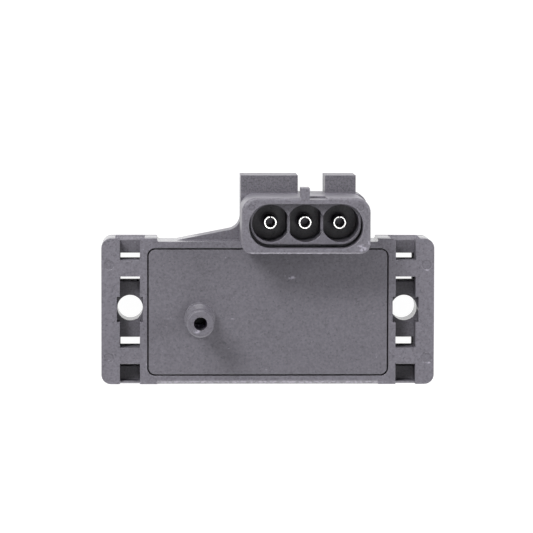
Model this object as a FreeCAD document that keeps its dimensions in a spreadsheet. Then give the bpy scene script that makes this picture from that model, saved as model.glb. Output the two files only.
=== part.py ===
"""Manifold absolute pressure sensor.

A box-shaped moulding with two slotted mounting ears, a glued cover plate that carries the vacuum
port, a three-way socket beside it, and the sensing circuit sealed inside.

Frame, in millimetres: the origin is the middle of the line through the two mounting holes, on the
flat back face. +X runs along the ears, +Y towards the connector and +Z out of the vacuum port.
"""
import FreeCAD
import Part
import Sketcher
import math
import os
import re

# Driving dimensions, one per row: name, size in millimetres, meaning
SIZES = [
    ("hole_spacing", 68.8, "distance between the mounting holes"),
    ("hole_diameter", 6.4, "mounting hole"),
    ("body_height", 36.4, "height of the ears"),
    ("hole_rise", 0.45, "hole line above the ears' middle"),
    ("body_depth", 15.5, "back face to front face"),
    ("ear_corner", 2.4, "outer corner radius of an ear"),
    ("outer_bar", 4.6, "bar at an ear's end, beside the slot"),
    ("ear_inset", 4.3, "slot to the step where an ear meets the frame"),
    ("frame_drop", 0.8, "how far the frame's top lies below the ears' top"),
    ("lip", 0.9, "sloped lip along the frame's lower front edge"),
    ("step_radius", 0.5, "fillet between the frame's top and an ear"),
    ("floor", 2.5, "back wall of the housing"),
    ("side_wall", 5.0, "wall between the circuit cavity and the long outer sides"),
    ("end_wall", 5.4, "wall between the circuit cavity and a slot"),
    ("cavity_corner", 3.0, "corner radius of the circuit cavity"),
    ("slot_width", 5.0, "width of the slot down each ear"),
    ("slot_depth", 6.5, "front face down to the walls at the back of the slot"),
    ("bar_from_end", 5.28, "ear's long end to the far side of a crossbar"),
    ("bar_width", 4.0, "width of a crossbar"),
    ("bar_shift", 0.2, "crossbars below their even places"),
    ("bar_depth", 12.0, "front face down to the back of a crossbar"),
    ("upper_gap", 1.65, "opening between the upper crossbar and the wall that holds a hole"),
    ("lower_gap", 2.2, "opening between the lower crossbar and that wall"),
    ("end_wall_height", 3.95, "height of the walls at the open ends of a slot"),
    ("end_wall_bevel", 0.7, "bevel on the upper end walls"),
    ("end_lip", 0.65, "thickness of the lip across a slot's lower end"),
    ("end_lip_setback", 1.9, "front face down to that lip's edge"),
    ("end_lip_bevel", 0.4, "bevel on that lip"),
    ("slot_corner", 1.0, "rounding of the upper ends of the slot's sides"),
    ("relief_margin", 0.05, "bolt relief beside the hole, across the slot"),
    ("slot_rib", 1.8, "rib between the cover's recess and a slot"),
    ("upper_rim", 2.38, "ear's upper end above the cover's recess"),
    ("lower_rim", 2.08, "ear's lower end below the cover's recess"),
    ("cover_thickness", 2.6, "thickness of the cover plate"),
    ("cover_corner", 1.6, "corner radius of the cover plate"),
    ("cover_gap", 0.4, "groove around the cover plate"),
    ("bead_thickness", 0.3, "adhesive under the cover plate's rim"),
    ("bead_width", 2.4, "width of the adhesive bead"),
    ("port_from_end", 12.7, "port axis from the cover's left side"),
    ("port_drop", 2.15, "port axis below the hole line"),
    ("port_length", 16.6, "height of the port above the front face"),
    ("port_bore", 3.3, "bore of the port"),
    ("port_hub", 7.7, "diameter of the port's foot"),
    ("port_hub_height", 2.4, "height of the port's foot"),
    ("port_neck", 5.4, "diameter behind the barb"),
    ("port_barb", 6.8, "diameter of the barb"),
    ("port_land", 1.8, "cylindrical length of the barb"),
    ("port_taper", 0.6, "tapered length in front of the barb"),
    ("port_shoulder", 0.5, "tapered length behind the barb"),
    ("port_tip", 6.1, "diameter at the tip"),
    ("socket_from_end", 20.97, "socket's middle from the cover's right side"),
    ("shroud_length", 31.5, "outer length of the socket shroud"),
    ("shroud_height", 13.75, "outer height of the socket shroud"),
    ("shroud_front", 18.5, "height of the shroud above the front face"),
    ("shroud_upper_corner", 3.6, "outer upper corner radius of the shroud"),
    ("shroud_lower_corner", 2.5, "outer lower corner radius of the shroud"),
    ("shroud_edge", 0.8, "rounding of the shroud's front edge"),
    ("shroud_clearance", 0.13, "shroud above the cover plate"),
    ("mouth_end_wall", 1.8, "wall at the mouth's ends"),
    ("mouth_lower_wall", 1.37, "wall below the mouth"),
    ("mouth_upper_wall", 1.5, "wall above the mouth"),
    ("mouth_flat", 0.2, "half of the straight part of the mouth's ends"),
    ("mouth_depth", 3.6, "mouth down to the island with the wells"),
    ("island_gap", 0.4, "groove at the island's ends"),
    ("island_lower_gap", 0.8, "groove below the island"),
    ("island_height", 4.0, "island above the bottom of its groove"),
    ("well_end_margin", 0.82, "outer wells in from the mouth's ends"),
    ("well_diameter", 9.2, "well around each terminal"),
    ("well_rise", 0.5, "wells and terminals above the mouth's axis"),
    ("well_depth", 13.9, "depth of a well below the island's face"),
    ("web", 0.65, "web between two wells"),
    ("web_inset", 0.165, "middle of a web in from midway between two wells"),
    ("web_drop", 2.5, "webs below the island's face"),
    ("nib_width", 2.15, "lock nib on the shroud"),
    ("nib_height", 2.35, "height of the lock nib"),
    ("nib_length", 7.0, "length of the lock nib"),
    ("nib_right", 0.85, "lock nib's right side from the socket's middle"),
    ("keyway_width", 4.15, "shallow keyway beside the nib"),
    ("keyway_depth", 0.45, "depth of the keyway"),
    ("keyway_length", 8.0, "length of the keyway"),
    ("collar_setback", 1.7, "front face down to the front of the collar behind the shroud"),
    ("collar_proud", 0.15, "collar's right side outside the shroud's"),
    ("collar_corner", 2.9, "corner radius of the collar"),
    ("collar_inset", 0.25, "shroud's left side outside the collar's"),
    ("block_top", 4.6, "blocks above the shroud's top"),
    ("left_block", 14.2, "width of the left block"),
    ("block_gap", 6.8, "gap between the blocks"),
    ("right_block", 7.65, "width of the right block"),
    ("block_wall", 1.7, "wall of a cored block"),
    ("block_core", 11.0, "depth of the cores in the blocks"),
    ("block_core_height", 6.6, "height of the cores in the blocks"),
    ("gusset_reach", 16.05, "gusset along the frame's top from the collar"),
    ("gusset_rise", 3.15, "gusset's height at the collar, without its curve"),
    ("gusset_radius", 3.4, "curve between gusset and collar"),
    ("gusset_setback", 6.5, "front face down to the gusset's front face"),
    ("ejector_mark", 2.5, "ejector mark on an ear"),
    ("ejector_mark_depth", 0.2, "depth of an ejector mark"),
    ("ejector_mark_from_end", 6.6, "ejector marks from an ear's long ends"),
    ("ejector_mark_in", 1.9, "ejector marks in from an ear's outer side"),
    ("shroud_mark", 1.7, "ejector mark on the shroud"),
    ("shroud_mark_in", 2.4, "shroud marks in from the shroud's sides"),
    ("pin_diameter", 3.25, "rolled terminal pin"),
    ("pin_wall", 0.4, "sheet thickness of a rolled pin"),
    ("pin_below_mouth", 7.0, "pin tip below the shroud's front"),
    ("pin_root", 2.5, "pin in the plastic below its well"),
    ("pin_root_diameter", 4.0, "thickened root that the plastic holds"),
    ("pin_plug", 1.2, "closed part of a pin's root"),
    ("pin_seam", 0.22, "seam of a rolled pin"),
    ("pin_tip_bevel", 0.12, "bevel of a pin's tip"),
    ("shank_width", 2.8, "flat shank of a terminal"),
    ("shank_thickness", 0.8, "thickness of the shank"),
    ("shank_height", 7.6, "back face to the shank's lower side"),
    ("shank_bend", 0.6, "inner bend radius of the shank"),
    ("tail_length", 2.0, "terminal tail inside the cavity"),
    ("lead_width", 1.8, "bent lead between a tail and the board"),
    ("lead_thickness", 0.3, "thickness of a lead"),
    ("lead_foot", 2.2, "foot of a lead on the board"),
    ("lead_bend", 0.3, "inner bend radius of a lead"),
    ("solder_thickness", 0.1, "solder under a lead's foot"),
    ("solder_margin", 0.4, "solder beyond a lead's foot"),
    ("board_end_margin", 3.0, "cavity beyond the ceramic board's ends"),
    ("board_side_margin", 1.65, "cavity beyond the ceramic board's long sides"),
    ("board_thickness", 0.8, "thickness of the ceramic board"),
    ("board_bond", 0.2, "adhesive under the board"),
    ("board_bond_margin", 1.5, "board beyond its adhesive"),
    ("cup_bore", 8.4, "bore of the cup around the sensing element"),
    ("cup_wall", 1.3, "wall of the cup"),
    ("seal_thickness", 1.1, "pressed height of the port seal"),
    ("seal_width", 1.1, "width of the port seal"),
    ("pedestal_side", 3.6, "glass pedestal"),
    ("pedestal_height", 1.6, "height of the glass pedestal"),
    ("die_side", 3.2, "silicon die"),
    ("die_thickness", 0.4, "thickness of the die"),
    ("diaphragm_side", 2.2, "opening of the vacuum cavity under the diaphragm"),
    ("diaphragm_thickness", 0.08, "thickness of the diaphragm"),
    ("diaphragm_margin", 0.22, "slope of the vacuum cavity's sides"),
    ("gel_cover", 1.2, "gel above the die"),
    ("amplifier_length", 6.2, "amplifier body"),
    ("amplifier_height", 5.0, "height of the amplifier body"),
    ("amplifier_thickness", 1.5, "thickness of the amplifier body"),
    ("amplifier_gap", 2.0, "amplifier from the cup"),
    ("leg_pitch", 1.27, "pitch of the amplifier's legs"),
    ("leg_width", 0.45, "width of a leg"),
    ("leg_thickness", 0.2, "thickness of a leg"),
    ("leg_foot", 0.6, "foot of a leg"),
    ("leg_reach", 1.1, "leg out of the amplifier's side"),
    ("leg_exit", 0.75, "leg's exit above the board"),
    ("network_length", 9.0, "laser-trimmed resistor network"),
    ("network_height", 2.6, "height of the network"),
    ("network_thickness", 0.7, "thickness of the network"),
    ("network_gap", 1.0, "network beyond the amplifier"),
    ("network_edge", 2.8, "network from the board's lower side"),
    ("capacitor_length", 2.0, "chip capacitor"),
    ("capacitor_width", 1.25, "width of a chip capacitor"),
    ("capacitor_thickness", 1.0, "thickness of a chip capacitor"),
    ("capacitor_from_end", 3.0, "last capacitor's middle from the board's end"),
    ("capacitor_pitch", 4.2, "distance between the capacitors"),
]

document = FreeCAD.newDocument("pressure_sensor")
sheet = document.addObject("Spreadsheet::Sheet", "Sizes")
for row, (name, value, meaning) in enumerate(SIZES, start=1):
    sheet.set(f"A{row}", meaning)
    sheet.set(f"B{row}", str(value))
    sheet.setAlias(f"B{row}", name)
document.recompute()


def bound(formula):
    """Write a formula of size names as references to the sheet."""
    return re.sub(r"[a-z]\w*", r"Sizes.\g<0>", formula)


def size(formula):
    """Work out a formula of size names."""
    return float(sheet.evalExpression(bound(formula)))


# Places that several pieces share, as formulas of the sizes
hole_x = "(hole_spacing / 2)"
slot_inner = f"({hole_x} - slot_width / 2)"
half_span = f"({hole_x} + slot_width / 2 + outer_bar)"
ear_top = "(body_height / 2 - hole_rise)"
ear_low = "(-body_height / 2 - hole_rise)"
frame_half = f"({slot_inner} - ear_inset)"
frame_top = f"({ear_top} - frame_drop)"
upper_bar_far = f"({ear_top} - bar_from_end - bar_shift)"
upper_bar_near = f"({upper_bar_far} - bar_width)"
lower_bar_far = f"({ear_low} + bar_from_end - bar_shift)"
lower_bar_near = f"({lower_bar_far} + bar_width)"
hole_wall_top = f"({upper_bar_near} - upper_gap)"
hole_wall_low = f"({lower_bar_near} + lower_gap)"
upper_slot_end = f"({ear_top} - end_wall_height)"
lower_slot_end = f"({ear_low} + end_wall_height)"
relief_half_width = "(hole_diameter / 2 + relief_margin)"
recess_half = f"({slot_inner} - slot_rib)"
recess_top = f"({ear_top} - upper_rim)"
recess_low = f"({ear_low} + lower_rim)"
cover_half = f"({recess_half} - cover_gap)"
cover_top = f"({recess_top} - cover_gap)"
cover_low = f"({recess_low} + cover_gap)"
cover_back = "(body_depth - cover_thickness)"
ledge = f"({cover_back} - bead_thickness)"
cavity_half_length = f"({slot_inner} - end_wall)"
cavity_top = f"({ear_top} - side_wall)"
cavity_low = f"({ear_low} + side_wall)"
port_x = f"(-{cover_half} + port_from_end)"
port_y = "(-port_drop)"
socket_middle = f"({cover_half} - socket_from_end)"
shroud_low = f"({cover_top} + shroud_clearance)"
shroud_top = f"({shroud_low} + shroud_height)"
shroud_left = f"({socket_middle} - shroud_length / 2)"
shroud_right = f"({socket_middle} + shroud_length / 2)"
mouth_z = "(body_depth + shroud_front)"
mouth_low = f"({shroud_low} + mouth_lower_wall)"
mouth_top = f"({shroud_top} - mouth_upper_wall)"
mouth_y = f"(({mouth_low} + {mouth_top}) / 2)"
mouth_half = "(shroud_length / 2 - mouth_end_wall)"
mouth_corner = f"(({mouth_top} - {mouth_low}) / 2 - mouth_flat)"
well_face = f"({mouth_z} - mouth_depth)"
well_floor = f"({well_face} - well_depth)"
well_pitch = f"({mouth_half} - well_diameter / 2 - well_end_margin)"
well_y = f"({mouth_y} + well_rise)"
pin_tip = f"({mouth_z} - pin_below_mouth)"
pin_foot = f"({well_floor} - pin_root)"
collar_front = "(body_depth - collar_setback)"
collar_left = f"({shroud_left} + collar_inset)"
collar_right = f"({shroud_right} + collar_proud)"
blocks_top = f"({shroud_top} + block_top)"
right_block_left = f"({collar_left} + left_block + block_gap)"
tail_end = f"({cavity_top} - tail_length)"
board_half_length = f"({cavity_half_length} - board_end_margin)"
board_middle = "(-hole_rise)"
board_half_height = f"({cavity_top} - board_side_margin - {board_middle})"
board_back = "(floor + board_bond)"
board_front = f"({board_back} + board_thickness)"
amplifier_left = f"({port_x} + cup_bore / 2 + cup_wall + amplifier_gap)"
amplifier_right = f"({amplifier_left} + amplifier_length)"
pin_places = [f"({socket_middle} + ({side}) * {well_pitch})" for side in (-1, 0, 1)]


def new_body(label):
    body = document.addObject("PartDesign::Body", label)
    body.Label = label
    return body


def new_sketch(body, name, plane="XY_Plane", offset="0", shift=("0", "0")):
    """Start a sketch on one of the body's origin planes, moved along the plane's normal."""
    sketch = body.newObject("Sketcher::SketchObject", f"{body.Label}_{name}")
    support = next(feature for feature in body.Origin.OriginFeatures if feature.Role == plane)
    sketch.AttachmentSupport = [(support, "")]
    sketch.MapMode = "FlatFace"
    sketch.setExpression("AttachmentOffset.Base.x", bound(shift[0]))
    sketch.setExpression("AttachmentOffset.Base.y", bound(shift[1]))
    sketch.setExpression("AttachmentOffset.Base.z", bound(offset))
    return sketch


def pin_point(sketch, index, end, x, y):
    """Bind a point of the sketch to two formulas."""
    for kind, formula in (("DistanceX", x), ("DistanceY", y)):
        number = sketch.addConstraint(Sketcher.Constraint(kind, -1, 1, index, end, size(formula)))
        sketch.setExpression(f"Constraints[{number}]", bound(formula))


def outline(sketch, corners):
    """Draw a closed outline, counter-clockwise; a corner is (x, y) or (x, y, radius)."""
    points = [FreeCAD.Vector(size(corner[0]), size(corner[1]), 0) for corner in corners]
    count = len(corners)
    starts, ends, arcs = list(points), list(points), {}
    for i, corner in enumerate(corners):
        if len(corner) == 2:
            continue
        back = (points[i - 1] - points[i]).normalize()
        ahead = (points[(i + 1) % count] - points[i]).normalize()
        half_angle = back.getAngle(ahead) / 2
        radius = size(corner[2])
        reach = radius / math.tan(half_angle)
        ends[i] = points[i] + back * reach
        starts[i] = points[i] + ahead * reach
        to_centre = (back + ahead).normalize()
        middle = points[i] + to_centre * (radius / math.sin(half_angle) - radius)
        turns_left = back.cross(ahead).z < 0
        arcs[i] = (ends[i], middle, starts[i], turns_left)
    lines = [sketch.addGeometry(Part.LineSegment(starts[i], ends[(i + 1) % count])) for i in range(count)]
    for i, corner in enumerate(corners):
        line_in, line_out = lines[i - 1], lines[i]
        if i not in arcs:
            sketch.addConstraint(Sketcher.Constraint("Coincident", line_in, 2, line_out, 1))
            pin_point(sketch, line_out, 1, corner[0], corner[1])
            continue
        first, middle, last, turns_left = arcs[i]
        ordered = (first, middle, last) if turns_left else (last, middle, first)
        arc = sketch.addGeometry(Part.Arc(*ordered))
        arc_in, arc_out = (1, 2) if turns_left else (2, 1)
        sketch.addConstraint(Sketcher.Constraint("Tangent", line_in, 2, arc, arc_in))
        sketch.addConstraint(Sketcher.Constraint("Tangent", arc, arc_out, line_out, 1))
        number = sketch.addConstraint(Sketcher.Constraint("Radius", arc, size(corner[2])))
        sketch.setExpression(f"Constraints[{number}]", bound(corner[2]))
        vertex = sketch.addGeometry(Part.Point(points[i]), True)
        sketch.addConstraint(Sketcher.Constraint("PointOnObject", vertex, 1, line_in))
        sketch.addConstraint(Sketcher.Constraint("PointOnObject", vertex, 1, line_out))
        pin_point(sketch, vertex, 1, corner[0], corner[1])


def rectangle(sketch, left, right, low, high, radius=None):
    corners = [(left, low), (right, low), (right, high), (left, high)]
    outline(sketch, [corner + ((radius,) if radius else ()) for corner in corners])


def circle(sketch, x, y, diameter):
    ring = sketch.addGeometry(Part.Circle(FreeCAD.Vector(size(x), size(y), 0), FreeCAD.Vector(0, 0, 1),
                                          size(diameter) / 2))
    pin_point(sketch, ring, 3, x, y)
    number = sketch.addConstraint(Sketcher.Constraint("Diameter", ring, size(diameter)))
    sketch.setExpression(f"Constraints[{number}]", bound(diameter))


def grow(body, kind, name, sketch, grows=True, **settings):
    """Add a sketch-based feature and see that it adds or removes material."""
    before = body.Shape.Volume if body.Shape and not body.Shape.isNull() else 0.0
    feature = body.newObject(f"PartDesign::{kind}", f"{body.Label}_{name}")
    feature.Profile = sketch
    for key, value in settings.items():
        if key == "Length":
            feature.setExpression(key, bound(value))
        else:
            setattr(feature, key, value)
    document.recompute()
    change = body.Shape.Volume - before
    if (change > 0) != grows or abs(change) < 1e-6:
        raise RuntimeError(f"{feature.Name} changes the volume by {change:.4f}")
    return feature


def pad(body, name, sketch, length, **settings):
    return grow(body, "Pad", name, sketch, Length=length, **settings)


def pocket(body, name, sketch, length, **settings):
    return grow(body, "Pocket", name, sketch, grows=False, Length=length, **settings)


def revolve(body, name, sketch):
    return grow(body, "Revolution", name, sketch, ReferenceAxis=(sketch, ["V_Axis"]), Angle=360.0)


def soften(body, kind, name, amount, chosen):
    """Round or bevel the body's edges that the test picks; the kind is Fillet or Chamfer."""
    document.recompute()
    base = body.Tip
    edges = [f"Edge{i}" for i, edge in enumerate(base.Shape.Edges, start=1) if chosen(edge)]
    feature = body.newObject(f"PartDesign::{kind}", f"{body.Label}_{name}")
    feature.Base = (base, edges)
    feature.setExpression({"Fillet": "Radius", "Chamfer": "Size"}[kind], bound(amount))
    document.recompute()
    if not edges or not feature.Shape.isValid():
        raise RuntimeError(f"{feature.Name} softens nothing")
    return feature


def lies(edge, **limits):
    """See whether an edge's box lies at the given coordinates, each a number or a (low, high) pair."""
    box = edge.BoundBox
    spans = {"x": (box.XMin, box.XMax), "y": (box.YMin, box.YMax), "z": (box.ZMin, box.ZMax)}
    for axis, limit in limits.items():
        low, high = limit if isinstance(limit, tuple) else (limit, limit)
        if spans[axis][0] < low - 1e-4 or spans[axis][1] > high + 1e-4:
            return False
    return True


def shank_outline(sketch, end):
    """Side view of a terminal's flat shank, from the pin's root round the bend to its end."""
    near = f"({well_y} - shank_thickness / 2)"
    far = f"({well_y} + shank_thickness / 2)"
    upper = "(shank_height + shank_thickness)"
    outline(sketch, [(end, "shank_height"), (far, "shank_height", "shank_bend + shank_thickness"),
                     (far, pin_foot), (near, pin_foot), (near, upper, "shank_bend"), (end, upper)])


def build_base(body):
    """The frame, its two ears and the recess for the cover plate."""
    profile = new_sketch(body, "frame_profile", "YZ_Plane")
    outline(profile, [(ear_low, "0"), (frame_top, "0"), (frame_top, "body_depth"),
                      (f"{ear_low} + lip", "body_depth"), (ear_low, "body_depth - lip")])
    pad(body, "frame", profile, f"2 * {frame_half}", Midplane=True)
    ears = new_sketch(body, "ears_outline")
    outline(ears, [(frame_half, ear_low), (half_span, ear_low, "ear_corner"),
                   (half_span, ear_top, "ear_corner"), (frame_half, ear_top)])
    outline(ears, [(f"-{frame_half}", ear_low), (f"-{frame_half}", ear_top),
                   (f"-{half_span}", ear_top, "ear_corner"), (f"-{half_span}", ear_low, "ear_corner")])
    pad(body, "ears", ears, "body_depth")
    steps = [side * size(frame_half) for side in (-1, 1)]
    soften(body, "Fillet", "steps", "step_radius",
           lambda edge: any(lies(edge, x=step, y=size(frame_top)) for step in steps))
    recess = new_sketch(body, "recess_outline", offset="body_depth")
    rectangle(recess, f"-{recess_half}", recess_half, recess_low, recess_top, "cover_corner + cover_gap")
    pocket(body, "recess", recess, "cover_thickness + bead_thickness")


def build_connector(body):
    """The collar and blocks behind the socket, the gusset, the shroud and what is on it."""
    collar = new_sketch(body, "collar_outline")
    outline(collar, [(collar_left, shroud_low), (collar_right, shroud_low),
                     (collar_right, shroud_top, "collar_corner"), (collar_left, shroud_top)])
    pad(body, "collar", collar, collar_front)
    blocks = new_sketch(body, "blocks_outline")
    rectangle(blocks, collar_left, f"{collar_left} + left_block", mouth_y, blocks_top)
    rectangle(blocks, right_block_left, f"{right_block_left} + right_block", mouth_y, blocks_top)
    pad(body, "blocks", blocks, collar_front)
    gusset = new_sketch(body, "gusset_outline")
    gusset_end = f"{collar_left} - gusset_reach"
    outline(gusset, [(gusset_end, frame_top), (gusset_end, shroud_low), (shroud_right, shroud_low),
                     (shroud_right, mouth_y), (collar_left, mouth_y),
                     (collar_left, f"{frame_top} + gusset_rise", "gusset_radius")])
    pad(body, "gusset", gusset, "body_depth - gusset_setback")
    shroud = new_sketch(body, "shroud_outline", offset=ledge)
    outline(shroud, [(shroud_left, shroud_low, "shroud_lower_corner"),
                     (shroud_right, shroud_low, "shroud_lower_corner"),
                     (shroud_right, shroud_top, "shroud_upper_corner"),
                     (shroud_left, shroud_top, "shroud_upper_corner")])
    pad(body, "shroud", shroud, f"{mouth_z} - {ledge}")
    soften(body, "Fillet", "shroud_front", "shroud_edge", lambda edge: lies(edge, z=size(mouth_z)))
    nib = new_sketch(body, "nib_outline", offset=mouth_z)
    nib_right = f"({socket_middle} + nib_right)"
    nib_top = f"{shroud_top} + nib_height"
    rectangle(nib, f"{nib_right} - nib_width", nib_right, f"{shroud_top} - shroud_edge", nib_top)
    pad(body, "nib", nib, "nib_length", Reversed=True)
    keyway = new_sketch(body, "keyway_outline", offset=mouth_z)
    rectangle(keyway, nib_right, f"{nib_right} + keyway_width", f"{shroud_top} - keyway_depth", nib_top)
    pocket(body, "keyway", keyway, "keyway_length")


def build_socket(body):
    """The mouth, the island with three wells and their webs, and the seats of the terminals."""
    left = f"{socket_middle} - {mouth_half}"
    right = f"{socket_middle} + {mouth_half}"
    mouth = new_sketch(body, "mouth_outline", offset=mouth_z)
    rectangle(mouth, left, right, mouth_low, mouth_top, mouth_corner)
    pocket(body, "mouth", mouth, "mouth_depth + island_height")
    island = new_sketch(body, "island_outline", offset=f"{well_face} - island_height")
    rectangle(island, f"{left} + island_gap", f"{right} - island_gap", f"{mouth_low} + island_lower_gap",
              f"{mouth_top} + mouth_upper_wall / 2", f"{mouth_corner} - island_gap")
    pad(body, "island", island, "island_height")
    outer_wells = new_sketch(body, "outer_wells_outline", offset=well_face)
    for place in (pin_places[0], pin_places[2]):
        circle(outer_wells, place, well_y, "well_diameter")
    pocket(body, "outer_wells", outer_wells, "well_depth")
    middle_well = new_sketch(body, "middle_well_outline", offset=well_face)
    circle(middle_well, pin_places[1], well_y, "well_diameter")
    pocket(body, "middle_well", middle_well, "well_depth")
    webs = new_sketch(body, "webs_outline", offset=well_floor)
    for side in (-1, 1):
        middle = f"{socket_middle} + ({side}) * ({well_pitch} / 2 - web_inset)"
        rectangle(webs, f"{middle} - web / 2", f"{middle} + web / 2",
                  f"{well_y} - well_diameter / 3", f"{well_y} + well_diameter / 3")
    pad(body, "webs", webs, "well_depth - web_drop")
    roots = new_sketch(body, "pin_roots_outline", offset=well_floor)
    for place in pin_places:
        circle(roots, place, well_y, "pin_root_diameter")
    pocket(body, "pin_roots", roots, "pin_root")
    for number, place in enumerate(pin_places, start=1):
        channel = new_sketch(body, f"shank_channel_{number}_outline", "YZ_Plane", offset=place)
        shank_outline(channel, cavity_top)
        pocket(body, f"shank_channel_{number}", channel, "shank_width", Midplane=True)


def build_slots(body):
    """The slot down each ear, with its crossbars, back walls, mounting hole and bolt relief."""
    front = new_sketch(body, "front_slots_outline", offset="body_depth")
    lips = new_sketch(body, "end_lips_outline", offset="body_depth")
    back = new_sketch(body, "back_slots_outline")
    gaps = new_sketch(body, "slot_gaps_outline")
    holes = new_sketch(body, "mounting_holes_outline")
    relief = new_sketch(body, "bolt_relief_outline", offset="body_depth")
    lip_inside = f"({ear_low} + end_lip)"
    for side in (-1, 1):
        middle = f"({side}) * {hole_x}"
        left, right = f"{middle} - slot_width / 2", f"{middle} + slot_width / 2"
        rectangle(front, left, right, lower_bar_near, upper_bar_near)
        rectangle(front, left, right, upper_bar_far, f"{ear_top} + lip")
        rectangle(front, left, right, lip_inside, lower_bar_far)
        rectangle(lips, left, right, f"{ear_low} - lip", f"{lip_inside} + end_lip")
        circle(holes, middle, "0", "hole_diameter")
        rectangle(relief, f"{middle} - {relief_half_width}", f"{middle} + {relief_half_width}",
                  "-hole_diameter / 2", "hole_diameter / 2")
        for low, high in ((lower_slot_end, hole_wall_low), (hole_wall_top, upper_slot_end)):
            rectangle(back, left, right, low, high)
        for low, high in ((lower_slot_end, lower_bar_far), (lower_bar_near, hole_wall_low),
                          (hole_wall_top, upper_bar_near), (upper_bar_far, upper_slot_end)):
            rectangle(gaps, left, right, low, high)
    pocket(body, "front_slots", front, "slot_depth")
    pocket(body, "end_lips", lips, "end_lip_setback")
    pocket(body, "back_slots", back, "body_depth - bar_depth", Reversed=True)
    pocket(body, "slot_gaps", gaps, "body_depth - slot_depth", Reversed=True)
    pocket(body, "mounting_holes", holes, "body_depth", Reversed=True)
    pocket(body, "bolt_relief", relief, "slot_depth")
    slot_edges = [size(slot_inner), size(f"{slot_inner} + slot_width")]
    slot_sides = [side * edge for side in (-1, 1) for edge in slot_edges]
    soften(body, "Fillet", "slot_ends", "slot_corner",
           lambda edge: any(lies(edge, x=side, y=size(ear_top)) for side in slot_sides))
    soften(body, "Chamfer", "end_walls", "end_wall_bevel",
           lambda edge: lies(edge, y=size(ear_top), z=size("body_depth - slot_depth")))
    soften(body, "Chamfer", "lip_fronts", "end_lip_bevel",
           lambda edge: lies(edge, y=size(ear_low), z=size("body_depth - end_lip_setback")))


def build_housing():
    body = new_body("housing")
    build_base(body)
    build_connector(body)
    cavity = new_sketch(body, "cavity_outline", offset="body_depth")
    rectangle(cavity, f"-{cavity_half_length}", cavity_half_length, cavity_low, cavity_top, "cavity_corner")
    pocket(body, "cavity", cavity, "body_depth - floor")
    build_socket(body)
    build_slots(body)
    cores = new_sketch(body, "block_cores_outline")
    core_low, core_high = f"{blocks_top} - block_wall - block_core_height", f"{blocks_top} - block_wall"
    core_width = "((left_block - 3 * block_wall) / 2)"
    for place in (f"({collar_left} + block_wall)", f"({collar_left} + 2 * block_wall + {core_width})"):
        rectangle(cores, place, f"{place} + {core_width}", core_low, core_high)
    rectangle(cores, f"{right_block_left} + block_wall", f"{right_block_left} + right_block - block_wall",
              core_low, core_high)
    pocket(body, "block_cores", cores, "block_core", Reversed=True)
    marks = new_sketch(body, "ear_marks_outline", offset="body_depth")
    for side in (-1, 1):
        for mark_y in (f"{ear_top} - ejector_mark_from_end", f"{ear_low} + ejector_mark_from_end"):
            circle(marks, f"({side}) * ({half_span} - ejector_mark_in)", mark_y, "ejector_mark")
    pocket(body, "ear_marks", marks, "ejector_mark_depth")
    shroud_marks = new_sketch(body, "shroud_marks_outline", offset=mouth_z)
    for place in (f"{shroud_left} + shroud_mark_in", f"{shroud_right} - shroud_mark_in"):
        circle(shroud_marks, place, f"{shroud_top} - shroud_mark_in", "shroud_mark")
    pocket(body, "shroud_marks", shroud_marks, "ejector_mark_depth")
    return body


def build_port_cover():
    """The cover plate and the vacuum port, one moulding."""
    body = new_body("port_cover")
    plate = new_sketch(body, "plate_outline", offset=cover_back)
    rectangle(plate, f"-{cover_half}", cover_half, cover_low, cover_top, "cover_corner")
    pad(body, "plate", plate, "cover_thickness")
    tip = "(body_depth + port_length)"
    barb_front = f"({tip} - port_taper)"
    barb_back = f"({barb_front} - port_land)"
    hub_top = "(body_depth + port_hub_height)"
    profile = new_sketch(body, "port_profile", "XZ_Plane", offset="port_drop", shift=(port_x, "0"))
    outline(profile, [("0", cover_back), ("port_hub / 2", cover_back), ("port_hub / 2", hub_top),
                      ("port_neck / 2", f"{hub_top} + (port_hub - port_neck) / 2"),
                      ("port_neck / 2", f"{barb_back} - port_shoulder"), ("port_barb / 2", barb_back),
                      ("port_barb / 2", barb_front), ("port_tip / 2", tip), ("0", tip)])
    revolve(body, "port", profile)
    bore = new_sketch(body, "bore_outline", offset=tip)
    circle(bore, port_x, port_y, "port_bore")
    pocket(body, "bore", bore, "port_length + cover_thickness")
    return body


def build_terminal(label, place):
    """A rolled pin on a flat shank that bends towards the circuit."""
    body = new_body(label)
    shank = new_sketch(body, "shank_profile", "YZ_Plane")
    shank_outline(shank, tail_end)
    pad(body, "shank", shank, "shank_width", Midplane=True)
    profile = new_sketch(body, "pin_profile", "XZ_Plane", offset=f"-{well_y}")
    inner = "(pin_diameter / 2 - pin_wall)"
    plug_top = f"({pin_foot} + pin_plug)"
    outline(profile, [("0", pin_foot), ("pin_root_diameter / 2", pin_foot),
                      ("pin_root_diameter / 2", well_floor), ("pin_diameter / 2", well_floor),
                      ("pin_diameter / 2", f"{pin_tip} - pin_tip_bevel"),
                      ("pin_diameter / 2 - pin_tip_bevel", pin_tip), (inner, pin_tip), (inner, plug_top),
                      ("0", plug_top)])
    revolve(body, "pin", profile)
    seam = new_sketch(body, "seam_outline", offset=pin_tip)
    rectangle(seam, "-pin_seam / 2", "pin_seam / 2", well_y, f"{well_y} + pin_diameter")
    pocket(body, "seam", seam, f"{pin_tip} - {well_floor}")
    body.setExpression("Placement.Base.x", bound(place))
    return body


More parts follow.
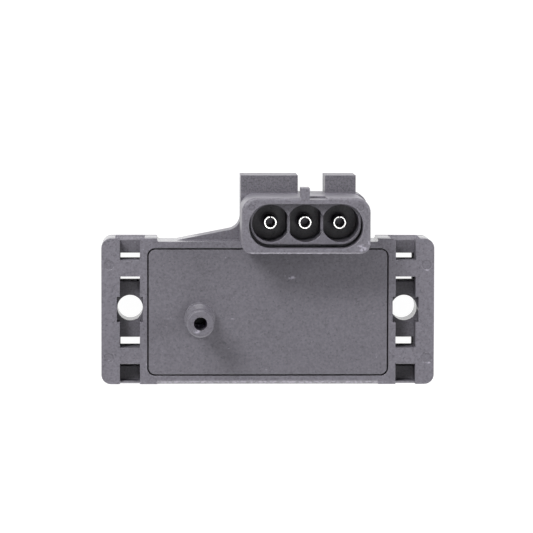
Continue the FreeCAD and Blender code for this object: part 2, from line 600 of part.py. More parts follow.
def build_lead(label, place):
    """A thin bent lead from a terminal's tail down to the board."""
    body = new_body(label)
    profile = new_sketch(body, "profile", "YZ_Plane")
    foot = f"({board_front} + solder_thickness)"
    under = "shank_height - lead_thickness"
    outer_bend = "lead_bend + lead_thickness"
    outline(profile, [(f"{tail_end} - lead_foot", foot), (tail_end, foot, outer_bend),
                      (tail_end, under, "lead_bend"), (cavity_top, under), (cavity_top, "shank_height"),
                      (f"{tail_end} - lead_thickness", "shank_height", outer_bend),
                      (f"{tail_end} - lead_thickness", f"{foot} + lead_thickness", "lead_bend"),
                      (f"{tail_end} - lead_foot", f"{foot} + lead_thickness")])
    pad(body, "strip", profile, "lead_width", Midplane=True)
    body.setExpression("Placement.Base.x", bound(place))
    return body


def build_box(label, length, width, height, x, y, z):
    """A block given by its size, the middle of its footprint and its lower face."""
    block = document.addObject("Part::Box", label)
    block.Label = label
    for key, formula in (("Length", length), ("Width", width), ("Height", height),
                         ("Placement.Base.x", f"{x} - ({length}) / 2"),
                         ("Placement.Base.y", f"{y} - ({width}) / 2"), ("Placement.Base.z", z)):
        block.setExpression(key, bound(formula))
    return block


def build_ring(label, outer, inner, low, height):
    """A ring around the port's axis."""
    body = new_body(label)
    plan = new_sketch(body, "plan", offset=low)
    circle(plan, port_x, port_y, outer)
    circle(plan, port_x, port_y, inner)
    pad(body, "ring", plan, height)
    return body


def build_bead():
    """The adhesive between the cover plate's rim and the housing's ledge."""
    body = new_body("cover_adhesive")
    plan = new_sketch(body, "plan", offset=ledge)
    rectangle(plan, f"-{cover_half}", cover_half, cover_low, cover_top, "cover_corner")
    rectangle(plan, f"-{cover_half} + bead_width", f"{cover_half} - bead_width",
              f"{cover_low} + bead_width", f"{cover_top} - bead_width", "cover_corner")
    pad(body, "bead", plan, "bead_thickness")
    return body


def build_die():
    """The silicon die, etched from below to a thin diaphragm over a vacuum cavity."""
    body = new_body("silicon_die")
    low = f"({board_front} + pedestal_height)"
    plan = new_sketch(body, "plan", offset=low)
    rectangle(plan, f"{port_x} - die_side / 2", f"{port_x} + die_side / 2",
              f"{port_y} - die_side / 2", f"{port_y} + die_side / 2")
    pad(body, "chip", plan, "die_thickness")
    sections = []
    for name, height, side in (("cavity_mouth", low, "diaphragm_side"),
                               ("cavity_roof", f"{low} + die_thickness - diaphragm_thickness",
                                "(diaphragm_side - 2 * diaphragm_margin)")):
        section = new_sketch(body, name, offset=height)
        rectangle(section, f"{port_x} - {side} / 2", f"{port_x} + {side} / 2",
                  f"{port_y} - {side} / 2", f"{port_y} + {side} / 2")
        sections.append(section)
    grow(body, "SubtractiveLoft", "vacuum_cavity", sections[0], grows=False,
         Sections=[sections[1]], Ruled=True)
    return body


def build_gel():
    """The soft gel that fills the cup's lower part, around the pedestal and over the die."""
    body = new_body("cell_gel")
    plan = new_sketch(body, "plan", offset=board_front)
    circle(plan, port_x, port_y, "cup_bore")
    pad(body, "fill", plan, "pedestal_height + die_thickness + gel_cover")
    for name, side, height in (("pedestal_space", "pedestal_side", "pedestal_height"),
                               ("die_space", "die_side", "pedestal_height + die_thickness")):
        space = new_sketch(body, name, offset=board_front)
        rectangle(space, f"{port_x} - {side} / 2", f"{port_x} + {side} / 2",
                  f"{port_y} - {side} / 2", f"{port_y} + {side} / 2")
        pocket(body, f"{name}_cut", space, height, Reversed=True)
    return body


def build_amplifier():
    """The amplifier: a moulded block with four legs on each long side."""
    body = new_body("amplifier_chip")
    legs_low = board_front
    block = new_sketch(body, "block_outline", offset=f"{board_front} + leg_thickness")
    rectangle(block, amplifier_left, amplifier_right, "-amplifier_height / 2", "amplifier_height / 2")
    pad(body, "block", block, "amplifier_thickness")
    first = f"({amplifier_left} + amplifier_length / 2 - 1.5 * leg_pitch)"
    legs = new_sketch(body, "legs_profile", "YZ_Plane", offset=first)
    exit_low = f"({board_front} + leg_exit)"
    for side, turn in ((1, 1), (-1, -1)):
        root = f"({side}) * (amplifier_height / 2 - leg_thickness)"
        knee = f"({side}) * (amplifier_height / 2 + leg_reach - leg_foot)"
        knee_out = f"({side}) * (amplifier_height / 2 + leg_reach - leg_foot + leg_thickness)"
        toe = f"({side}) * (amplifier_height / 2 + leg_reach)"
        corners = [(root, exit_low), (knee, exit_low), (knee, legs_low), (toe, legs_low),
                   (toe, f"{legs_low} + leg_thickness"), (knee_out, f"{legs_low} + leg_thickness"),
                   (knee_out, f"{exit_low} + leg_thickness"), (root, f"{exit_low} + leg_thickness")]
        outline(legs, corners[::turn])
    leg_pair = pad(body, "leg_pair", legs, "leg_width", Midplane=True)
    rows = body.newObject("PartDesign::LinearPattern", "amplifier_legs")
    rows.Originals = [leg_pair]
    rows.Direction = (next(axis for axis in body.Origin.OriginFeatures if axis.Role == "X_Axis"), [""])
    rows.Occurrences = 4
    rows.setExpression("Length", bound("3 * leg_pitch"))
    body.Tip = rows
    document.recompute()
    return body


pieces = [build_housing(), build_port_cover(), build_bead()]
for letter, pin_x in zip("abc", pin_places):
    pieces.append(build_terminal(f"terminal_{letter}", pin_x))
    pieces.append(build_lead(f"bond_lead_{letter}", pin_x))
    pieces.append(build_box(f"solder_pad_{letter}", "lead_width + 2 * solder_margin", "lead_foot",
                            "solder_thickness", pin_x, f"{tail_end} - lead_foot / 2", board_front))
pieces.append(build_box("circuit_substrate", f"2 * {board_half_length}", f"2 * {board_half_height}",
                        "board_thickness", "0", board_middle, board_back))
pieces.append(build_box("substrate_adhesive", f"2 * ({board_half_length} - board_bond_margin)",
                        f"2 * ({board_half_height} - board_bond_margin)", "board_bond",
                        "0", board_middle, "floor"))
pieces.append(build_ring("cell_cup", "(cup_bore + 2 * cup_wall)", "cup_bore", board_front,
                         f"{cover_back} - seal_thickness - {board_front}"))
pieces.append(build_ring("port_seal", "(cup_bore + 2 * seal_width)", "cup_bore",
                         f"{cover_back} - seal_thickness", "seal_thickness"))
pieces.append(build_box("glass_pedestal", "pedestal_side", "pedestal_side", "pedestal_height",
                        port_x, port_y, board_front))
pieces.append(build_die())
pieces.append(build_gel())
pieces.append(build_amplifier())
pieces.append(build_box("trim_network", "network_length", "network_height", "network_thickness",
                        f"{amplifier_right} + network_gap + network_length / 2",
                        f"{board_middle} - {board_half_height} + network_edge + network_height / 2",
                        board_front))
for place in range(3):
    pieces.append(build_box(f"chip_capacitor_{place + 1}", "capacitor_length", "capacitor_width",
                            "capacitor_thickness",
                            f"{board_half_length} - capacitor_from_end - {2 - place} * capacitor_pitch",
                            "0", board_front))

document.recompute()
for thing in document.Objects:
    if "Invalid" in thing.State or "Error" in thing.State:
        raise RuntimeError(f"{thing.Name} is {thing.State}")
os.makedirs("parts", exist_ok=True)
for piece in pieces:
    if piece.Shape.isNull() or not piece.Shape.isValid() or len(piece.Shape.Solids) != 1:
        raise RuntimeError(f"{piece.Label} is not one valid solid")
    piece.Shape.exportStep(f"parts/{piece.Label}.step")
    box = piece.Shape.BoundBox
    print(f"{piece.Label}: {piece.Shape.Volume:.2f} mm3, x {box.XMin:.2f} to {box.XMax:.2f}, "
          f"y {box.YMin:.2f} to {box.YMax:.2f}, z {box.ZMin:.2f} to {box.ZMax:.2f}")
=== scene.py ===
"""Looks of the pressure sensor: materials on its pieces, a white floor, soft light and the camera."""
import math
from typing import NamedTuple

import bpy
from mathutils import Matrix, Vector


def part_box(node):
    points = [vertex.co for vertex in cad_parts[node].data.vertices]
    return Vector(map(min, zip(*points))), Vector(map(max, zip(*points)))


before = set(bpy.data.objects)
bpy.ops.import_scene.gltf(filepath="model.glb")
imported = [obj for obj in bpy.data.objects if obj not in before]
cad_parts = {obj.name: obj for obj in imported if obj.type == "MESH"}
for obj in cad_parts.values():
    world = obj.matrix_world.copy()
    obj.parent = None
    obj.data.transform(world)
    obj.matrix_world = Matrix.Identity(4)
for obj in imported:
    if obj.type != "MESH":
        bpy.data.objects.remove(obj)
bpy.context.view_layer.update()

MM = 0.001
WHITE = (1.0, 1.0, 1.0, 1.0)

# The camera looks at this point of the front face, from a little above and left of straight on
LOOK_AT = Vector((-0.38, 10.785, 15.5)) * MM
CAMERA_DISTANCE = 876 * MM
CAMERA_UP_TILT = math.radians(4.05)
CAMERA_LEFT_TILT = math.radians(1.75)
CAMERA_NEAREST = 0.01
LENS_MM = 237.5
SENSOR_MM = 36.0

# Lamps: place and side in metres, then power in watts
SOFTBOXES = {
    "key": ((-0.36, 0.46, 0.69), 0.25, 4.6),
    "second_key": ((0.66, 0.18, 0.58), 0.25, 2.2),
    "front": ((0.03, -0.03, 0.95), 0.15, 0.4),
    "above": ((-0.1, 0.9, 0.15), 0.4, 2.5),
    "below": ((0.0, -0.8, 0.12), 0.4, 3.5),
}
# Strength of the white surround, towards the camera and at the sides
SURROUND_FRONT = 0.25
SURROUND_SIDES = 1.3

FLOOR_HALF_SIDE = 3.0
FLOOR_GAP = 0.02 * MM
FLOOR_COLOUR = (0.82, 0.82, 0.82, 1.0)
FLOOR_ROUGHNESS = 0.9
# The floor as the camera sees it: a glow near white, and a little of the lamps' light
FLOOR_GLOW = 0.98
FLOOR_LIT = (0.16, 0.16, 0.16, 1.0)

# Places on the sensor, in millimetres; a fade is the way over which a mask runs out
FAR = 1000
PIN_BORE_RADIUS = 1.24
PIN_ROOT_RADIUS = 2.0
PIN_BRIGHT_FROM_Z = 26.5
PIN_FADE = 0.5
HOLE_X = 34.4
HOLE_RADIUS = 3.3
POCKET_HALF_WIDTH = 3.6
POCKET_FADE = 0.2
PORT_AXIS = (-17.0, -2.15)
PORT_BORE_RADIUS = 1.68
# Below this depth the port's bore is paler, as painted light
PORT_BORE_LIT_BELOW_Z = 26.0
PORT_BORE_LIT_FADE = 3
# The blocks' fronts behind the socket get painted shade here
BLOCKS_FROM_Y = 29.0
BLOCKS_FADE_Y = 0.3
BLOCKS_BELOW_Z = 20.0
BLOCKS_FADE_Z = 0.5

# Middle and half sizes in millimetres
UPPER_SIDE = ((0, 16.6, 7.0), (FAR, 1.6, 8.8))
# The socket's lid and upper sides, paler as painted light from above
SOCKET_LID_PAINTED_LIGHT = ((0, 28.4, 25.0), (FAR, 2.6, 12.0))

# Pale marks on the mouldings, and painted highlights and painted light on the housing: middle and half sizes
# in millimetres, then strength
HOUSING_MARKS_AND_HIGHLIGHTS = [
    # painted highlights along the socket's lower front edge and its lower right corner
    ((22.4, 16.6, 34.0), (1.7, 1.1, 1.0), 0.5),
    ((24.2, 17.8, 33.6), (0.6, 1.2, 1.0), 0.35),
    ((5.0, 15.2, 33.4), (20.0, 0.5, 0.7), 0.5),
    # painted light on the frame's bottom lip, as if lit from below
    ((-0.5, -18.2, 15.0), (60.0, 0.5, 0.9), 0.3),
    # a painted glint on the right bolt hole's edge
    ((37.2, 0.4, 15.0), (0.4, 2.4, 1.2), 0.9),
    # painted highlights just below the ejector marks on the ears
    ((39.7, 10.0, 15.5), (0.9, 0.3, 0.4), 0.5),
    ((39.8, -13.3, 15.5), (1.2, 0.35, 0.4), 0.5),
    ((-39.2, -12.7, 15.5), (0.9, 0.3, 0.4), 0.6),
    # a pale mark on the left ear
    ((-32.0, 8.3, 15.5), (0.5, 0.3, 0.3), 0.4),
]
COVER_MARKS = [
    ((6.0, 7.9, 15.5), (1.1, 0.7, 0.3), 0.6),
    ((-24.3, -2.3, 15.5), (2.0, 0.15, 0.3), 0.3),
    ((-8.8, -2.3, 15.5), (1.6, 0.12, 0.3), 0.35),
    ((-10.5, 13.1, 15.5), (0.3, 0.3, 0.3), 0.6),
    ((-17.9, -3.9, 32.0), (1.0, 0.7, 0.5), 0.6),
    ((27.2, -11.6, 15.5), (0.2, 0.8, 0.3), 0.35),
    ((29.0, 12.7, 15.5), (0.3, 0.5, 0.3), 0.35),
]

# How far from its middle a mask stays full, as a share of its half sizes
MARK_CORE = 0.5
SIDE_CORE = 0.8
ROUND_CORE = 0.98


class Noise(NamedTuple):
    """Cycles per metre, detail, the part of the noise's range that counts, and what its ends become."""
    scale: float
    detail: float
    low: float = 0.3
    high: float = 0.7
    out_low: float = 0.0
    out_high: float = 1.0


CLOUDS = Noise(55, 3)
MOTTLE = Noise(1900, 4, 0.36, 0.64)
PITS = Noise(2100, 2, 0.42, 0.3)
SPECKS = Noise(1500, 1, 0.75, 0.79)
BLOCK_SHADE_BLOTCHES = Noise(2100, 3, 0.38, 0.62, out_high=0.85)
# lighter edges: partly wear, partly painted highlight
WORN_AND_HIGHLIGHT_PLACES = Noise(420, 3, 0.25, 0.7, 0.1, 0.7)
MARK_PATCHES = Noise(1300, 3, 0.42, 0.6)
MOULD_ROUGHNESS = Noise(300, 3, out_low=0.36, out_high=0.46)
METAL_POLISH = Noise(700, 3)
GRAIN = Noise(2600, 3)
LINES = Noise(5000, 2)
LINES_STRETCH = (1.0, 1.0, 0.08)

# How light the mouldings' grey is, and how strong the cover's grain is beside the housing's
HOUSING_LEVEL = 0.1155
COVER_LEVEL = 0.1055
COVER_GRAIN = 0.8

# The plastic's layers: how much of each is mixed in, and how light it is beside the plastic's own grey
CLOUDS_DARK = 0.95
CLOUDS_LIGHT = 1.05
MOTTLE_SHARE, MOTTLE_LIGHT = 0.85, 1.42
PITS_SHARE, PITS_LIGHT = 0.7, 0.5
SPECKS_SHARE, SPECKS_LIGHT = 0.6, 2.2
# painted shade on the blocks' fronts
BLOCK_SHADE_SHARE, BLOCK_SHADE_LIGHT = 1.0, 0.5
# painted light deep in the port's bore
PAINTED_BORE_SHARE, PAINTED_BORE_LIGHT = 1.0, 7
# painted light on the socket's lid
LID_PAINTED_SHARE, LID_PAINTED_LIGHT = 0.22, 1.9
# lighter edges, partly wear and partly painted highlight
WEAR_AND_HIGHLIGHT_SHARE, WEAR_AND_HIGHLIGHT_LIGHT = 1.0, 1.8
# pale marks, and painted highlights and painted light on the housing
MARKS_AND_HIGHLIGHTS_SHARE, MARKS_AND_HIGHLIGHTS_LIGHT = 1.0, 4.5

# The part of a face's normal along Z at which it starts to count as a wall, and at which it fully does
WALL_FROM = 0.5
WALL_FULL = 0.2
EDGE_RADIUS = 0.25 * MM
# The cosine between a face's normal and the rounded one where an edge starts to show, and fully does
EDGE_FROM = 0.995
EDGE_FULL = 0.86
EDGE_SAMPLES = 8
GRAIN_BUMP = 0.25
GRAIN_HEIGHT = 0.05 * MM
UPPER_SIDE_ROUGHNESS = 0.45
HOLE_ROUGHNESS = 0.2
POCKET_ROUGHNESS = 0.9

# Colour, then the least and the greatest roughness
TIN = ((0.93, 0.93, 0.91, 1.0), 0.2, 0.3)
BRONZE = ((0.72, 0.55, 0.33, 1.0), 0.3, 0.4)
SOLDER = ((0.6, 0.61, 0.63, 1.0), 0.35, 0.5)
PIN_SHAFT = (0.16, 0.15, 0.17, 1.0)
# inside a pin's bore: partly unplated metal, partly painted shade of the deep bore
PIN_BORE = (0.55, 0.53, 0.58, 1.0)
PIN_DULL_ROUGHNESS = 0.6
LINES_DARK = 0.86
LINES_BUMP = 0.1
LINES_HEIGHT = 0.01 * MM
METAL_EDGE_RADIUS = 0.08 * MM

PLAIN_CONTRAST = 0.12
PLAIN_FINER = 3
PLAIN_BUMP = 0.1
PLAIN_HEIGHT = 0.02 * MM
# Colour, roughness and noise in cycles per metre
CAPACITOR = ((0.3, 0.19, 0.1, 1.0), 0.5, 1500)
PLAIN_PIECES = {
    "cover_adhesive": ((0.012, 0.012, 0.013, 1.0), 0.5, 800),
    "substrate_adhesive": ((0.3, 0.3, 0.31, 1.0), 0.55, 800),
    "circuit_substrate": ((0.72, 0.71, 0.67, 1.0), 0.45, 1200),
    "cell_cup": ((0.02, 0.02, 0.022, 1.0), 0.4, 900),
    "port_seal": ((0.015, 0.015, 0.015, 1.0), 0.6, 900),
    "glass_pedestal": ((0.6, 0.7, 0.7, 1.0), 0.08, 500),
    "silicon_die": ((0.09, 0.095, 0.11, 1.0), 0.12, 500),
    "cell_gel": ((0.5, 0.54, 0.56, 1.0), 0.1, 300),
    "amplifier_chip": ((0.012, 0.012, 0.013, 1.0), 0.45, 1500),
    "trim_network": ((0.03, 0.12, 0.06, 1.0), 0.25, 900),
}


def grey(level):
    """The moulding's grey, a little violet."""
    return (level * 1.03, level * 0.975, level * 1.15, 1.0)


def darker(colour, factor):
    return tuple(factor * part for part in colour[:3]) + (1.0,)


class Nodes:
    """The node tree of a material or of the surround, with short calls for what this scene uses."""

    def __init__(self, owner):
        owner.use_nodes = True
        self.owner = owner
        self.tree = owner.node_tree

    def add(self, kind, **inputs):
        node = self.tree.nodes.new(kind)
        for key, value in inputs.items():
            self.put(node, key.replace("_", " "), value)
        return node

    def put(self, node, key, value):
        """Link another node's output to an input, or set the input's value."""
        socket = node.inputs[key]
        if isinstance(value, bpy.types.NodeSocket):
            self.tree.links.new(value, socket)
        else:
            socket.default_value = value

    def place(self, kind="Object"):
        return self.add("ShaderNodeTexCoord").outputs[kind]

    def flat_normal(self):
        return self.add("ShaderNodeNewGeometry").outputs["True Normal"]

    def parts(self, vector):
        """The X, Y and Z of a vector."""
        return self.add("ShaderNodeSeparateXYZ", Vector=vector).outputs

    def noise(self, kind, stretch=None):
        """A noise between 0 and 1; stretch scales the axes."""
        place = self.place()
        if stretch:
            place = self.add("ShaderNodeMapping", Vector=place, Scale=stretch).outputs["Vector"]
        texture = self.add("ShaderNodeTexNoise", Vector=place, Scale=kind.scale, Detail=kind.detail)
        return texture.outputs["Fac"]

    def spread(self, kind, stretch=None):
        """A noise with its range mapped as its kind says."""
        return self.ramp(self.noise(kind, stretch), kind.low, kind.high, kind.out_low, kind.out_high)

    def ramp(self, value, low, high, out_low=0.0, out_high=1.0, smooth=False):
        """Map a value's range onto another, clamped."""
        node = self.add("ShaderNodeMapRange", Value=value, From_Min=low, From_Max=high,
                        To_Min=out_low, To_Max=out_high)
        if smooth:
            node.interpolation_type = "SMOOTHSTEP"
        return node.outputs["Result"]

    def maths(self, operation, first, second=0.0):
        node = self.tree.nodes.new("ShaderNodeMath")
        node.operation = operation
        self.put(node, 0, first)
        self.put(node, 1, second)
        return node.outputs[0]

    def mix(self, factor, first, second):
        """Blend two colours by a factor."""
        node = self.tree.nodes.new("ShaderNodeMix")
        node.data_type = "RGBA"
        for key, value in ((0, factor), (6, first), (7, second)):
            self.put(node, key, value)
        return node.outputs[2]

    def choose(self, factor, first, second):
        """Blend two shaders by a factor."""
        node = self.add("ShaderNodeMixShader", Fac=factor)
        self.put(node, 1, first)
        self.put(node, 2, second)
        return node.outputs[0]

    def soft_edges(self, radius):
        """Normals rounded over the edges, and a mask that is 1 at an edge."""
        bevel = self.add("ShaderNodeBevel", Radius=radius)
        bevel.samples = EDGE_SAMPLES
        dot = self.tree.nodes.new("ShaderNodeVectorMath")
        dot.operation = "DOT_PRODUCT"
        self.put(dot, 0, bevel.outputs["Normal"])
        self.put(dot, 1, self.flat_normal())
        return bevel.outputs["Normal"], self.ramp(dot.outputs["Value"], EDGE_FROM, EDGE_FULL)

    def spot(self, middle, half_sizes, core=MARK_CORE):
        """A mask that is 1 in the core round a point and fades out at the half sizes, in millimetres."""
        scale = [1 / (half * MM) for half in half_sizes]
        shift = [-place * MM * factor for place, factor in zip(middle, scale)]
        mapping = self.add("ShaderNodeMapping", Vector=self.place(), Scale=scale, Location=shift)
        length = self.tree.nodes.new("ShaderNodeVectorMath")
        length.operation = "LENGTH"
        self.put(length, 0, mapping.outputs["Vector"])
        return self.ramp(length.outputs["Value"], 1.0, core)

    def column(self, x, y, radius):
        """A mask that is 1 inside an upright cylinder, in millimetres."""
        return self.spot((x, y, 0), (radius, radius, FAR), core=ROUND_CORE)

    def bump(self, height, strength, distance, normal=None):
        node = self.add("ShaderNodeBump", Height=height, Strength=strength, Distance=distance)
        if normal is not None:
            self.put(node, "Normal", normal)
        return node.outputs["Normal"]

    def finish(self, **inputs):
        """Set the main shader's inputs, and give the material."""
        for key, value in inputs.items():
            self.put(self.tree.nodes["Principled BSDF"], key.replace("_", " "), value)
        return self.owner


def painted_block_shade(nodes, place, walls):
    """A blotchy mask of painted shade over the fronts of the blocks behind the socket."""
    blocks = nodes.ramp(place["Y"], BLOCKS_FROM_Y * MM, (BLOCKS_FROM_Y + BLOCKS_FADE_Y) * MM)
    behind = nodes.ramp(place["Z"], (BLOCKS_BELOW_Z + BLOCKS_FADE_Z) * MM, BLOCKS_BELOW_Z * MM)
    blotches = nodes.maths("MULTIPLY", nodes.spread(BLOCK_SHADE_BLOTCHES), nodes.maths("SUBTRACT", 1.0, walls))
    return nodes.maths("MULTIPLY", nodes.maths("MULTIPLY", blocks, behind), blotches)


def bore_painted_light(nodes, place):
    """A mask over the lower part of the port's bore, where painted light makes it paler."""
    deep = nodes.ramp(place["Z"], (PORT_BORE_LIT_BELOW_Z + PORT_BORE_LIT_FADE) * MM, PORT_BORE_LIT_BELOW_Z * MM)
    return nodes.maths("MULTIPLY", nodes.column(*PORT_AXIS, PORT_BORE_RADIUS), deep)


def side_mask(nodes, walls, middle, half_sizes):
    """A mask over the walls inside a long box."""
    return nodes.maths("MULTIPLY", walls, nodes.spot(middle, half_sizes, core=SIDE_CORE))


def moulded_roughness(nodes, place, walls):
    """Smoother on the body's upper side, matte in the ears' pockets and polished in the bolt holes."""
    upper = side_mask(nodes, walls, *UPPER_SIDE)
    rough = nodes.maths("MULTIPLY", nodes.spread(MOULD_ROUGHNESS),
                        nodes.ramp(upper, 0.0, 1.0, 1.0, UPPER_SIDE_ROUGHNESS))
    from_hole = nodes.maths("SUBTRACT", nodes.maths("ABSOLUTE", place["X"]), HOLE_X * MM)
    pockets = nodes.ramp(nodes.maths("ABSOLUTE", from_hole), (POCKET_HALF_WIDTH + POCKET_FADE) * MM,
                         POCKET_HALF_WIDTH * MM)
    matte = nodes.maths("MULTIPLY", nodes.maths("MULTIPLY", pockets, walls), POCKET_ROUGHNESS)
    rough = nodes.maths("MAXIMUM", rough, matte)
    for hole_x in (-HOLE_X, HOLE_X):
        polished = nodes.column(hole_x, 0, HOLE_RADIUS)
        rough = nodes.maths("MULTIPLY", rough, nodes.ramp(polished, 0.0, 1.0, 1.0, HOLE_ROUGHNESS))
    return rough


def moulded_plastic(name, level, marks, grain=1.0):
    """Glass-filled plastic: fine grain, cloudy flow, specks, lighter edges that are partly wear and partly
    painted highlight, and pale marks.

    The port's bore is paler deep inside and the socket's lid is paler, both painted light, and the blocks
    behind it are darker in front as painted shade. A mark is its middle and half sizes in millimetres, then
    its strength; many of the housing's are painted highlights.
    """
    nodes = Nodes(bpy.data.materials.new(name))
    place = nodes.parts(nodes.place())
    facing = nodes.parts(nodes.flat_normal())["Z"]
    walls = nodes.ramp(nodes.maths("ABSOLUTE", facing), WALL_FROM, WALL_FULL)
    normal, edge = nodes.soft_edges(EDGE_RADIUS)
    layers = [
        (nodes.spread(MOTTLE), MOTTLE_SHARE * grain, MOTTLE_LIGHT),
        (nodes.spread(PITS), PITS_SHARE * grain, PITS_LIGHT),
        (nodes.spread(SPECKS), SPECKS_SHARE, SPECKS_LIGHT),
        # painted shade on the blocks' fronts, painted light in the port's bore and on the socket's lid, and
        # lighter edges that are partly wear and partly painted highlight
        (painted_block_shade(nodes, place, walls), BLOCK_SHADE_SHARE, BLOCK_SHADE_LIGHT),
        (bore_painted_light(nodes, place), PAINTED_BORE_SHARE, PAINTED_BORE_LIGHT),
        (side_mask(nodes, walls, *SOCKET_LID_PAINTED_LIGHT), LID_PAINTED_SHARE, LID_PAINTED_LIGHT),
        (nodes.maths("MULTIPLY", edge, nodes.spread(WORN_AND_HIGHLIGHT_PLACES)), WEAR_AND_HIGHLIGHT_SHARE, WEAR_AND_HIGHLIGHT_LIGHT),
    ]
    # pale marks; on the housing most are painted highlights and painted light
    for middle, half_sizes, strength in marks:
        patch = nodes.spread(MARK_PATCHES._replace(out_high=strength))
        shown = nodes.maths("MULTIPLY", patch, nodes.spot(middle, half_sizes))
        layers.append((shown, MARKS_AND_HIGHLIGHTS_SHARE, MARKS_AND_HIGHLIGHTS_LIGHT))
    body = nodes.mix(nodes.spread(CLOUDS), grey(level * CLOUDS_DARK), grey(level * CLOUDS_LIGHT))
    for mask, share, light in layers:
        body = nodes.mix(nodes.maths("MULTIPLY", mask, share), body, grey(level * light))
    normal = nodes.bump(nodes.noise(GRAIN), GRAIN_BUMP * grain, GRAIN_HEIGHT, normal)
    return nodes.finish(Base_Color=body, Roughness=moulded_roughness(nodes, place, walls), Normal=normal)


def bright_metal(name, colour, rough_low, rough_high, bore_axis=None):
    """Drawn metal: fine lines along the piece, uneven polish; dull on the shaft of a pin, and darker and
    dull in its bore, partly unplated metal and partly painted shade.
    """
    nodes = Nodes(bpy.data.materials.new(name))
    tint = nodes.mix(nodes.spread(LINES, LINES_STRETCH), darker(colour, LINES_DARK), colour)
    rough = nodes.spread(METAL_POLISH._replace(out_low=rough_low, out_high=rough_high))
    if bore_axis:
        height = nodes.parts(nodes.place())["Z"]
        shaft = nodes.ramp(height, PIN_BRIGHT_FROM_Z * MM, (PIN_BRIGHT_FROM_Z - PIN_FADE) * MM)
        # the bore's darker colour is partly painted shade
        inside = nodes.column(*bore_axis, PIN_BORE_RADIUS)
        tint = nodes.mix(shaft, tint, PIN_SHAFT)
        tint = nodes.mix(inside, tint, PIN_BORE)
        dull = nodes.maths("MAXIMUM", shaft, inside)
        rough = nodes.maths("MAXIMUM", rough, nodes.ramp(dull, 0.0, 1.0, 0.0, PIN_DULL_ROUGHNESS))
    normal, _ = nodes.soft_edges(METAL_EDGE_RADIUS)
    normal = nodes.bump(nodes.noise(LINES, LINES_STRETCH), LINES_BUMP, LINES_HEIGHT, normal)
    return nodes.finish(Base_Color=tint, Metallic=1.0, Roughness=rough, Normal=normal)


def plain_body(name, colour, roughness, scale):
    """A simple matt or glossy solid with a little variation of its own."""
    nodes = Nodes(bpy.data.materials.new(name))
    tint = nodes.mix(nodes.spread(Noise(scale, 3)), darker(colour, 1 - PLAIN_CONTRAST), colour)
    normal = nodes.bump(nodes.noise(Noise(scale * PLAIN_FINER, 2)), PLAIN_BUMP, PLAIN_HEIGHT)
    return nodes.finish(Base_Color=tint, Roughness=roughness, Normal=normal)


def dress(names, made):
    """Give each named piece the material."""
    for name in names:
        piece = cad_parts[name]
        piece.data.materials.clear()
        piece.data.materials.append(made)


def dress_all():
    dress(["housing"], moulded_plastic("housing_plastic", HOUSING_LEVEL, HOUSING_MARKS_AND_HIGHLIGHTS))
    dress(["port_cover"], moulded_plastic("cover_plastic", COVER_LEVEL, COVER_MARKS, COVER_GRAIN))
    for letter in "abc":
        low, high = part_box(f"terminal_{letter}")
        axis = ((low[0] + high[0]) / 2 / MM, high[1] / MM - PIN_ROOT_RADIUS)
        dress([f"terminal_{letter}"], bright_metal(f"tinned_{letter}", *TIN, bore_axis=axis))
    dress([f"bond_lead_{letter}" for letter in "abc"], bright_metal("lead_bronze", *BRONZE))
    dress([f"solder_pad_{letter}" for letter in "abc"], bright_metal("solder", *SOLDER))
    for name, looks in PLAIN_PIECES.items():
        dress([name], plain_body(name, *looks))
    dress([f"chip_capacitor_{place}" for place in (1, 2, 3)], plain_body("capacitor_ceramic", *CAPACITOR))


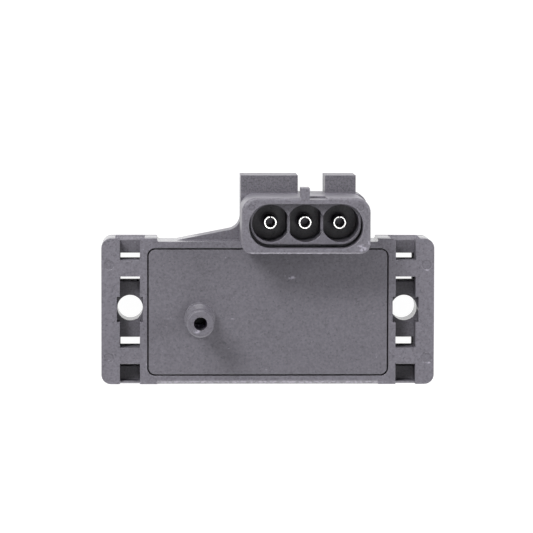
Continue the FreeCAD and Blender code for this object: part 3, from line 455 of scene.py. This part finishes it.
def build_floor():
    """A wide floor that lights the sensor as a pale one does, and that shows white."""
    half = FLOOR_HALF_SIDE
    mesh = bpy.data.meshes.new("floor")
    corners = [(-half, -half, 0), (half, -half, 0), (half, half, 0), (-half, half, 0)]
    mesh.from_pydata(corners, [], [(0, 1, 2, 3)])
    floor = bpy.data.objects.new("floor", mesh)
    floor.location.z = -FLOOR_GAP
    bpy.context.scene.collection.objects.link(floor)
    nodes = Nodes(bpy.data.materials.new("floor_white"))
    mesh.materials.append(nodes.finish(Base_Color=FLOOR_COLOUR, Roughness=FLOOR_ROUGHNESS))
    glow = nodes.add("ShaderNodeEmission", Color=WHITE, Strength=FLOOR_GLOW)
    lit = nodes.add("ShaderNodeBsdfDiffuse", Color=FLOOR_LIT)
    seen = nodes.add("ShaderNodeAddShader")
    nodes.put(seen, 0, glow.outputs[0])
    nodes.put(seen, 1, lit.outputs[0])
    path = nodes.add("ShaderNodeLightPath").outputs
    direct = nodes.maths("MAXIMUM", path["Is Camera Ray"], path["Is Glossy Ray"])
    direct = nodes.maths("MAXIMUM", direct, path["Is Transmission Ray"])
    pale = nodes.tree.nodes["Principled BSDF"].outputs[0]
    shown = nodes.choose(direct, pale, seen.outputs[0])
    nodes.put(nodes.tree.nodes["Material Output"], "Surface", shown)


def light_surround():
    """A white tent: dim towards the camera, bright round the sides, and white where the camera sees it."""
    world = bpy.data.worlds.new("surround")
    bpy.context.scene.world = world
    nodes = Nodes(world)
    height = nodes.parts(nodes.place("Generated"))["Z"]
    fill = nodes.tree.nodes["Background"]
    nodes.put(fill, "Color", WHITE)
    nodes.put(fill, "Strength", nodes.ramp(height, 0.0, 1.0, SURROUND_SIDES, SURROUND_FRONT, smooth=True))
    white = nodes.add("ShaderNodeBackground", Color=WHITE, Strength=1.0)
    path = nodes.add("ShaderNodeLightPath").outputs
    shown = nodes.choose(path["Is Camera Ray"], fill.outputs[0], white.outputs[0])
    nodes.put(nodes.tree.nodes["World Output"], "Surface", shown)


def softbox(name, place, side, power):
    """A square lamp that faces the sensor."""
    data = bpy.data.lights.new(name, "AREA")
    data.size = side
    data.energy = power
    lamp = bpy.data.objects.new(name, data)
    lamp.location = place
    lamp.rotation_euler = (LOOK_AT - Vector(place)).to_track_quat("-Z", "Y").to_euler()
    bpy.context.scene.collection.objects.link(lamp)


def place_camera():
    data = bpy.data.cameras.new("camera")
    data.lens = LENS_MM
    data.sensor_width = SENSOR_MM
    data.clip_start = CAMERA_NEAREST
    camera = bpy.data.objects.new("camera", data)
    back = Vector((-math.tan(CAMERA_LEFT_TILT), math.tan(CAMERA_UP_TILT), 1.0)).normalized()
    up = back.cross(Vector((1.0, 0.0, 0.0))).normalized()
    right = up.cross(back)
    turn = Matrix((right, up, back)).transposed()
    camera.matrix_world = Matrix.Translation(LOOK_AT + back * CAMERA_DISTANCE) @ turn.to_4x4()
    bpy.context.scene.collection.objects.link(camera)
    bpy.context.scene.camera = camera


dress_all()
build_floor()
light_surround()
for lamp_name, settings in SOFTBOXES.items():
    softbox(lamp_name, *settings)
place_camera()

bpy.context.scene.view_settings.view_transform = "Standard"
